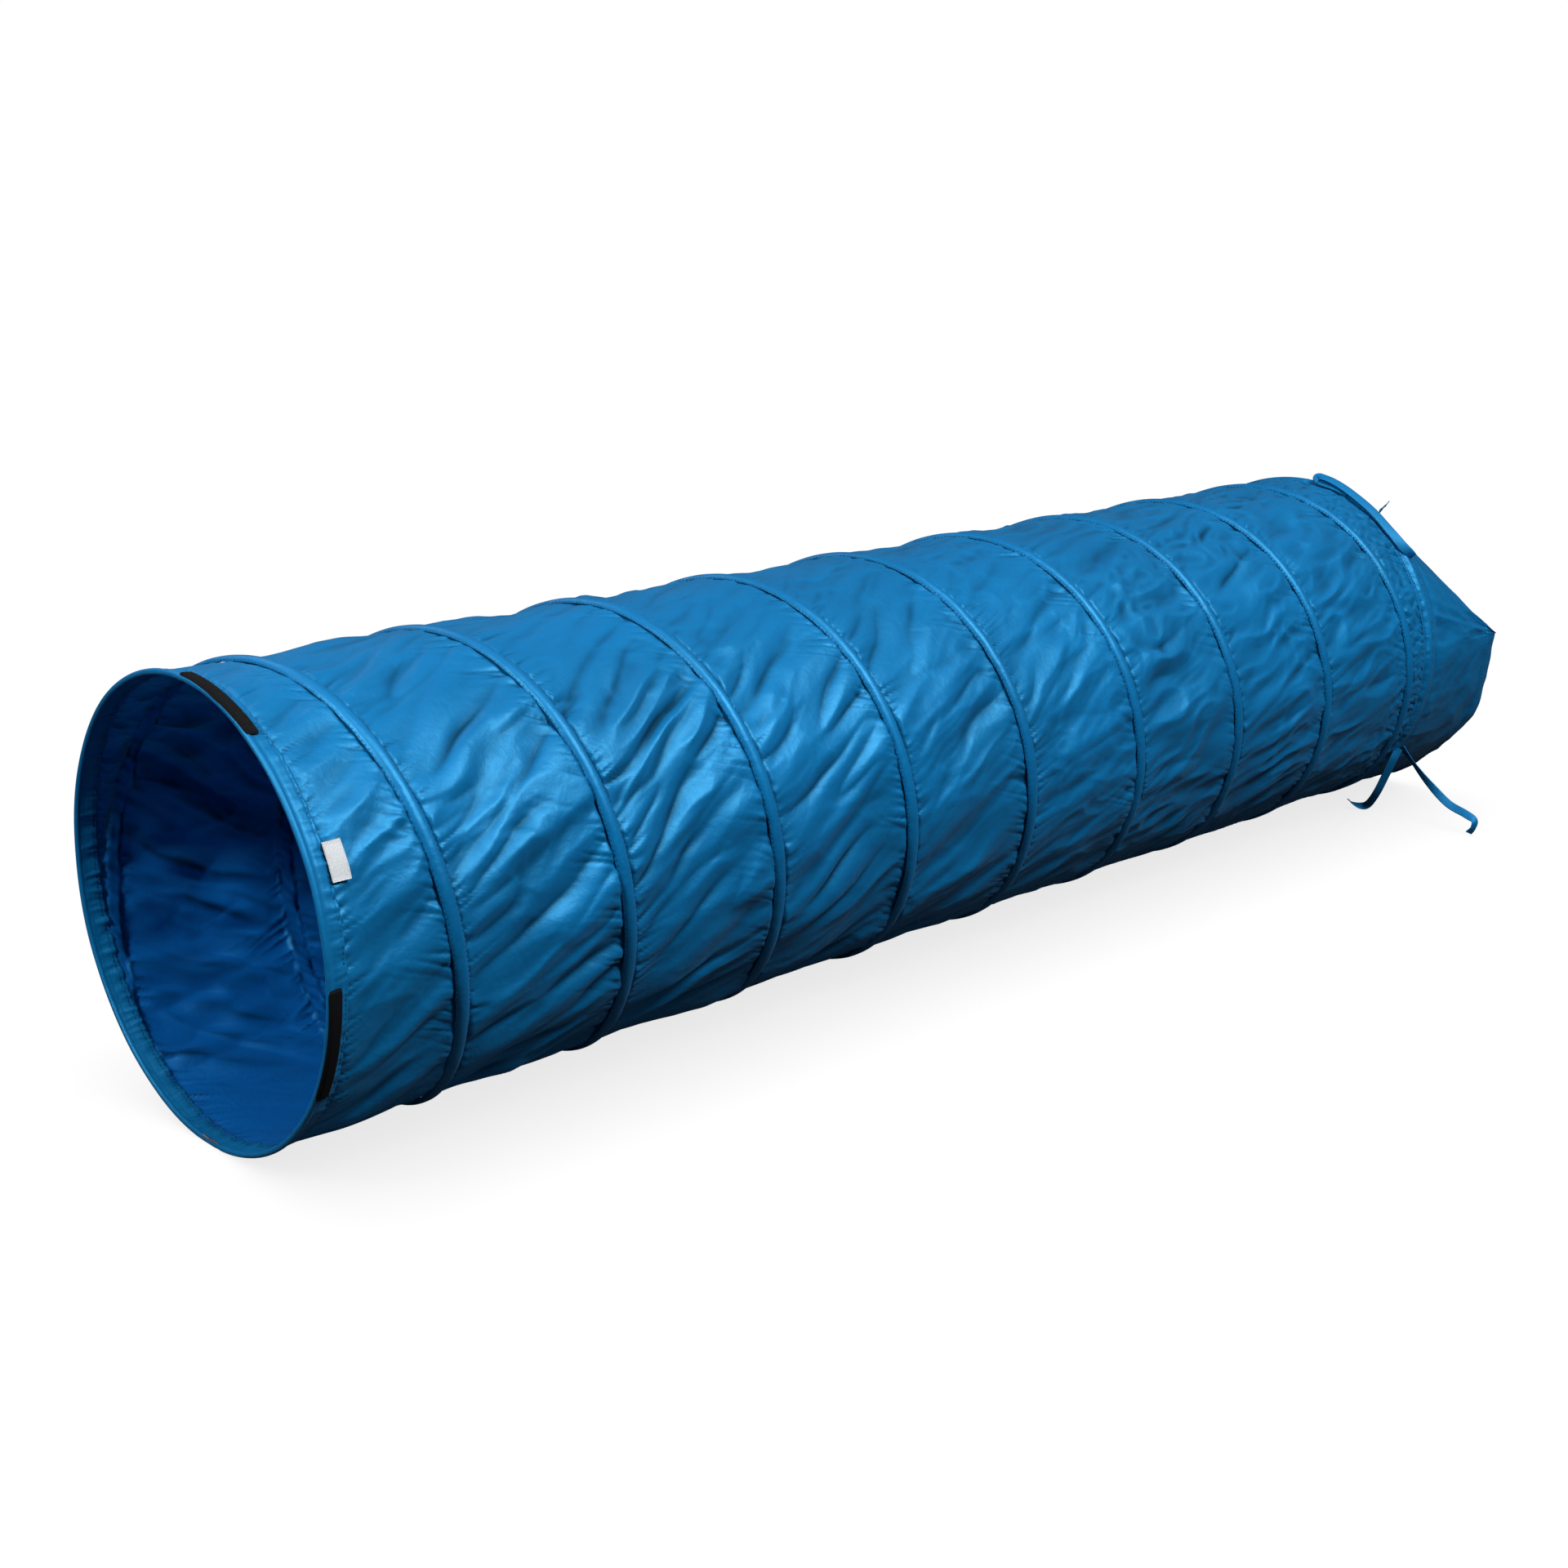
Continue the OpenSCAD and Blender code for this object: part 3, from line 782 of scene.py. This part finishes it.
def sleeve_point(x, r, phi):
    """The loose sleeve: round below, and above it a slack sheet pulled to a corner on the -Y side."""
    share = np.clip((x - SLEEVE_X) / (SLEEVE_END - SLEEVE_X), 0, 1)
    turn = (phi + math.pi) % TAU - math.pi
    x, share, turn, r = np.broadcast_arrays(x, share, turn, r)
    ring_y, ring_z = -r * np.sin(turn), r * np.cos(turn)
    brow = math.radians(87)
    ridge = math.radians(30)
    half = 1.03 * r
    tip = 4 * MM
    fan = tip * np.clip((turn - ridge) / (brow - ridge), 0, 1)
    lip_y = np.where(turn > ridge, -half + tip - fan,
                     half - (2 * half - tip) * np.clip((turn + brow) / (ridge + brow), 0, 1))
    lip_z = 20 * MM - 16 * MM * (1 - (lip_y / half) ** 2)
    upper = np.abs(turn) < brow
    y = np.where(upper, ring_y + (lip_y - ring_y) * share, ring_y * (1 + 0.03 * share))
    lift = (20 * MM - r * math.cos(brow)) * smooth(math.radians(118), brow, np.abs(turn))
    z = ring_z + np.where(upper, (lip_z - ring_z) * share, lift * share)
    slack = np.where(turn < ridge, np.clip((ridge - turn) / 0.5, 0, 1) * np.clip((turn + brow) / 0.5, 0, 1), 0)
    crease = 7 * np.exp(-((turn - ridge - 0.24) / 0.10) ** 2) - 2 * np.exp(-((turn - ridge - 0.5) / 0.14) ** 2)
    dip = 30 * MM * slack + crease * MM * (turn > ridge)
    z = z - np.where(upper, dip * np.sin(math.pi * share ** 0.8), 0)
    return np.stack([x, y, np.maximum(AXIS_Z + z, FLOOR_GAP)], -1)


def sleeve_offset(x, phi):
    s = SHELL_R * phi
    share = (x - SLEEVE_X) / (SLEEVE_END - SLEEVE_X)
    near = np.exp(-np.maximum(x - SLEEVE_X, 0) / (16 * MM))
    far = np.exp(-np.maximum(x - SLEEVE_X, 0) / (60 * MM))
    h = MM * near * (2.2 * noise(s / 0.017, x / 0.06, 71) + 1.0 * noise(s / 0.008, x / 0.04, 72))
    h += MM * far * 2.6 * crest(noise(s / 0.040, x / 0.25, 77), 0.03)
    slump = 5.0 * noise(s / 0.085, x / 0.2, 73)
    h += MM * share * (slump + 2.6 * crest(noise(s / 0.07 + x / 0.09, x / 0.13, 74), 0.04))
    small = 1.4 * crest(noise(s / 0.06, x / 0.05, 75), 0.04)
    h += MM * (small + 0.4 * crest(noise(s / 0.025, x / 0.03, 76)))
    return h * smooth(SLEEVE_X + 3 * MM, SLEEVE_X + 16 * MM, x)


def sleeve():
    phi = (np.arange(COLS) * TAU / COLS)[None, :]
    x = np.linspace(SLEEVE_X, SLEEVE_HEM_X + 1 * MM, 46)[:, None]
    h = around(lambda a: sleeve_offset(x, a), phi)
    points = sleeve_point(x, FABRIC_R - 1 * MM + h, phi)
    uv = np.stack(np.broadcast_arrays(x, SHELL_R * phi), -1)
    # painted shade: darker in the hollows of the sleeve's folds
    shade_amount = 0.5 * hollows(h, 1.6 * MM) + 0.8 * hollows(h, 4 * MM, 12)
    piece = make("sleeve_fabric", points, grid_faces(46, COLS, True, flip=True), TUBE,
                 grid_normals(points), uv, hollow=shade_amount)
    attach(piece, "far_end")
    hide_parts("chute_sleeve")
    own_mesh(piece)
    hem_x = np.linspace(SLEEVE_HEM_X, SLEEVE_END - 0.5 * MM, 9)
    out_x, in_x = hem_x[:, None], hem_x[::-1][:, None]
    thick = 1.3 * MM
    wave = 0.5 * MM * noise(SHELL_R * phi / 0.022, out_x / 0.03, 81)
    out_r = FABRIC_R - 1 * MM + around(lambda a: sleeve_offset(out_x, a), phi) + wave
    in_r = FABRIC_R - 1 * MM + around(lambda a: sleeve_offset(in_x, a), phi) + wave[::-1]
    outer = sleeve_point(out_x, out_r + thick / 2, phi)
    inner = sleeve_point(in_x, in_r - thick / 2, phi)
    rings = np.concatenate([outer, inner], 0)
    hem = make("sleeve_hem_fabric", rings, grid_faces(18, COLS, True, True, True), TUBE,
               uv=np.stack(np.broadcast_arrays(np.concatenate([out_x, in_x]), SHELL_R * phi), -1))
    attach(hem, "chute_rim")
    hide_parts("chute_hem")
    stitch_phi = np.arange(math.radians(90), math.radians(270), 5 * MM / SHELL_R)
    sx = SLEEVE_HEM_X + 3 * MM + 0 * stitch_phi
    base = FABRIC_R - 0.2 * MM + around(lambda a: sleeve_offset(sx, a), stitch_phi)
    p = sleeve_point(sx, base, stitch_phi)
    q = sleeve_point(sx, base, stitch_phi + 0.01)
    # the slumped sleeve is centred below the tunnel's axis
    hub_z = 0.8 * AXIS_Z
    out = p - np.stack([sx, 0 * sx, hub_z + 0 * sx], -1)
    seam = stitches("sleeve_hem_stitches", p, q - p, out, HEM_STITCH, STITCH_W)
    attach(seam, "chute_rim")


def ribbon(body, knots, twists, width):
    """A folded tape through knots: at a twist of 0 it faces the front, at 90 it is edge-on."""
    knots, twists = np.array(knots, float), np.radians(np.array(twists, float))[:, None]
    count = 90
    t = np.linspace(0, len(knots) - 1, count)

    def curve(values):
        i = np.clip(np.floor(t).astype(int), 0, len(values) - 2)
        f = (t - i)[:, None]
        p0, p1 = values[np.maximum(i - 1, 0)], values[i]
        p2, p3 = values[i + 1], values[np.minimum(i + 2, len(values) - 1)]
        return 0.5 * (2 * p1 + (p2 - p0) * f + (2 * p0 - 5 * p1 + 4 * p2 - p3) * f ** 2
                      + (3 * p1 - p0 - 3 * p2 + p3) * f ** 3)

    centre, angle = curve(knots), curve(twists)
    ahead = np.gradient(centre, axis=0)
    ahead /= np.linalg.norm(ahead, axis=1, keepdims=True)
    front = np.array([FRONT]) - (ahead @ np.array(FRONT))[:, None] * ahead
    front /= np.linalg.norm(front, axis=1, keepdims=True)
    face = front * np.cos(angle) + np.cross(ahead, front) * np.sin(angle)
    side = np.cross(ahead, face)
    half, thick = width / 2, 0.55 * MM
    outline = ((-1, -0.6), (-0.8, -1), (0, -0.75), (0.8, -1), (1, -0.6), (1, 0.6), (0.8, 1.25), (0, 0.75),
               (-0.8, 1.25), (-1, 0.6))
    rings = np.stack([centre + side * half * u + face * thick * v for u, v in outline], 1)
    piece = skin(f"{body}_tape", rings, TAPE, uv=np.stack(np.broadcast_arrays(
        np.arange(len(outline))[None, :] * 2 * MM, t[:, None] * 20 * MM), -1))
    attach(piece, body)
    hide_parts(body)


def on_ring(x, phi_deg, lift):
    phi = math.radians(phi_deg)
    r = RIM_R + lift
    return (FAR_X + x, -r * math.sin(phi), AXIS_Z + r * math.cos(phi))


def hanging(*knots):
    """Points in millimetres: along X from the far ring, across, and above the floor."""
    return [(FAR_X + x * MM, y * MM, z * MM) for x, y, z in knots]


def ties():
    """Two pairs of tapes: one folded over along the top of the far ring, one hanging to the floor."""
    top = [on_ring(-2 * MM, 21, 1 * MM), on_ring(-5 * MM, 16, 2 * MM), on_ring(-6 * MM, 10.5, 2.5 * MM),
           on_ring(-6 * MM, 8.2, 5 * MM), on_ring(-4 * MM, 9.5, 8.5 * MM), on_ring(-3 * MM, 14, 8 * MM),
           on_ring(-4 * MM, 21, 5.5 * MM), on_ring(-6 * MM, 32, 3.5 * MM), on_ring(-8 * MM, 42, 3 * MM),
           on_ring(-5 * MM, 49, 4 * MM), on_ring(2 * MM, 53, 6 * MM)]
    ribbon("tie_top_long", top, [35, 30, 10, -20, -40, -35, -30, -25, -15, 10, 60], 13.5 * MM)
    short = [on_ring(9 * MM, 33, 1 * MM), on_ring(16 * MM, 32.5, 2 * MM), on_ring(23 * MM, 32, 4 * MM),
             on_ring(30 * MM, 31.5, 6 * MM), on_ring(37 * MM, 31, 6 * MM)]
    ribbon("tie_top_short", short, [60, 70, 75, 80, 70], 12 * MM)
    root = on_ring(2 * MM, 123, 0.5 * MM)
    out = [root, *hanging((5, -218.5, 89.9), (5, -244.8, 65.7), (5, -281.7, 38.9), (5, -311, 29),
                          (4, -327, 22.5), (2, -327.5, 12), (0, -322, 3.5))]
    ribbon("tie_low_long", out, [60, 80, 55, 5, 0, -20, -35, -30], 11.5 * MM)
    root = on_ring(-3 * MM, 123.5, 0.5 * MM)
    back = [root, *hanging((-10, -198, 89.9), (-11, -188, 64), (-8.5, -174, 34), (0, -156, 11),
                           (-1, -144, 6), (-8, -134, 9.5), (-12, -129, 15))]
    ribbon("tie_low_short", back, [40, 10, 0, 0, 10, 35, 70, 85], 11.5 * MM)


# ---------------------------------------------------------------- CAD metal, stage, camera

def metal_nodes():
    for name in ("mouth_ring_wire", "end_ring_wire", "mouth_ferrule", "end_ferrule"):
        mesh = frame["nodes"][name].data
        mesh.materials.clear()
        mesh.materials.append(WIRE)


def pale_floor():
    """Plain white as the camera sees it, with a faint contact shadow, and dark to the bounced light."""
    bpy.ops.mesh.primitive_plane_add(size=60, location=(1, 0, 0))
    floor = bpy.context.object
    floor.name = "floor"
    mat, tree, bsdf = material("pale_floor", 0.8, (0.9, 0.9, 0.9))
    bsdf.inputs["Specular IOR Level"].default_value = 0.05
    seen = node(tree, "ShaderNodeLightPath")
    tone = node(tree, "ShaderNodeMix", data_type="RGBA")
    tone.inputs[6].default_value = (0.04, 0.045, 0.05, 1)
    tone.inputs[7].default_value = (0.02, 0.02, 0.02, 1)
    link(tree, seen, "Is Camera Ray", tone, 0)
    link(tree, tone, 2, bsdf, "Base Color")
    near = node(tree, "ShaderNodeAmbientOcclusion", Distance=0.18)
    soft = node(tree, "ShaderNodeMath", operation="MULTIPLY_ADD")
    soft.inputs[1].default_value = 0.22
    soft.inputs[2].default_value = 0.78
    link(tree, near, "AO", soft, 0)
    glow = node(tree, "ShaderNodeMath", operation="MULTIPLY")
    link(tree, soft, 0, glow, 1)
    link(tree, seen, "Is Camera Ray", glow, 0)
    bsdf.inputs["Emission Color"].default_value = (1, 1, 1, 1)
    link(tree, glow, 0, bsdf, "Emission Strength")
    floor.data.materials.append(mat)


def white_world():
    """White behind the tunnel, and a dim sky for every other ray."""
    world = bpy.data.worlds.new("studio")
    bpy.context.scene.world = world
    world.use_nodes = True
    tree = world.node_tree
    shown = tree.nodes["Background"]
    shown.inputs["Color"].default_value = (1, 1, 1, 1)
    shown.inputs["Strength"].default_value = 1.0
    sky = node(tree, "ShaderNodeBackground", Color=(0.93, 0.97, 1, 1), Strength=0.08)
    seen = node(tree, "ShaderNodeLightPath")
    mix = node(tree, "ShaderNodeMixShader")
    link(tree, seen, "Is Camera Ray", mix, 0)
    link(tree, sky, "Background", mix, 1)
    link(tree, shown, "Background", mix, 2)
    link(tree, mix, "Shader", tree.nodes["World Output"], "Surface")


def lamps():
    """A soft sun overhead and three area lamps: (name, place, size, watts)."""
    sun = bpy.data.lights.new("soft_sun", "SUN")
    sun.energy = 1.05
    sun.angle = math.radians(20)
    high = bpy.data.objects.new("soft_sun", sun)
    high.rotation_euler = Vector((0.0, -0.22, 0.97)).to_track_quat("Z", "Y").to_euler()
    bpy.context.scene.collection.objects.link(high)
    middle = Vector((FAR_X * 0.4, 0, AXIS_Z))
    for name, place, size, power in (
        ("key", (1.15, -2.15, 2.75), 1.0, 128),
        ("mouth", (-1.5, -0.2, 1.9), 0.5, 50),
        ("back", (0.3, 2.4, 2.8), 1.4, 15),
    ):
        lamp = bpy.data.lights.new(name, "AREA")
        lamp.size = size
        lamp.energy = power
        lit = bpy.data.objects.new(name, lamp)
        lit.location = place
        lit.rotation_euler = (middle - Vector(place)).to_track_quat("-Z", "Y").to_euler()
        bpy.context.scene.collection.objects.link(lit)


def camera():
    """A long lens in front of the mouth, to the right of it and a little above."""
    azimuth, elevation = math.radians(-43.44), math.radians(16.06)
    distance, lens = 2.658, 50.98
    side, rise = 0.0046, 0.0231
    aim = Vector((0.7884, 0, AXIS_Z))
    back = Vector((math.sin(azimuth) * math.cos(elevation), -math.cos(azimuth) * math.cos(elevation),
                   math.sin(elevation)))
    right = (-back).cross(Vector((0, 0, 1))).normalized()
    up = right.cross(-back)
    cam = bpy.data.cameras.new("camera")
    cam.lens = lens
    cam.sensor_width = 36
    eye = bpy.data.objects.new("camera", cam)
    bpy.context.scene.collection.objects.link(eye)
    turn = Matrix((right, up, back)).transposed()
    eye.matrix_world = Matrix.Translation(aim + back * distance - right * side - up * rise) @ turn.to_4x4()
    bpy.context.scene.camera = eye


fabric_tube()
coil()
mouth_hem()
end_hem()
strips()
label()
sleeve()
ties()
metal_nodes()
pale_floor()
white_world()
lamps()
camera()
bpy.context.scene.view_settings.view_transform = "Standard"
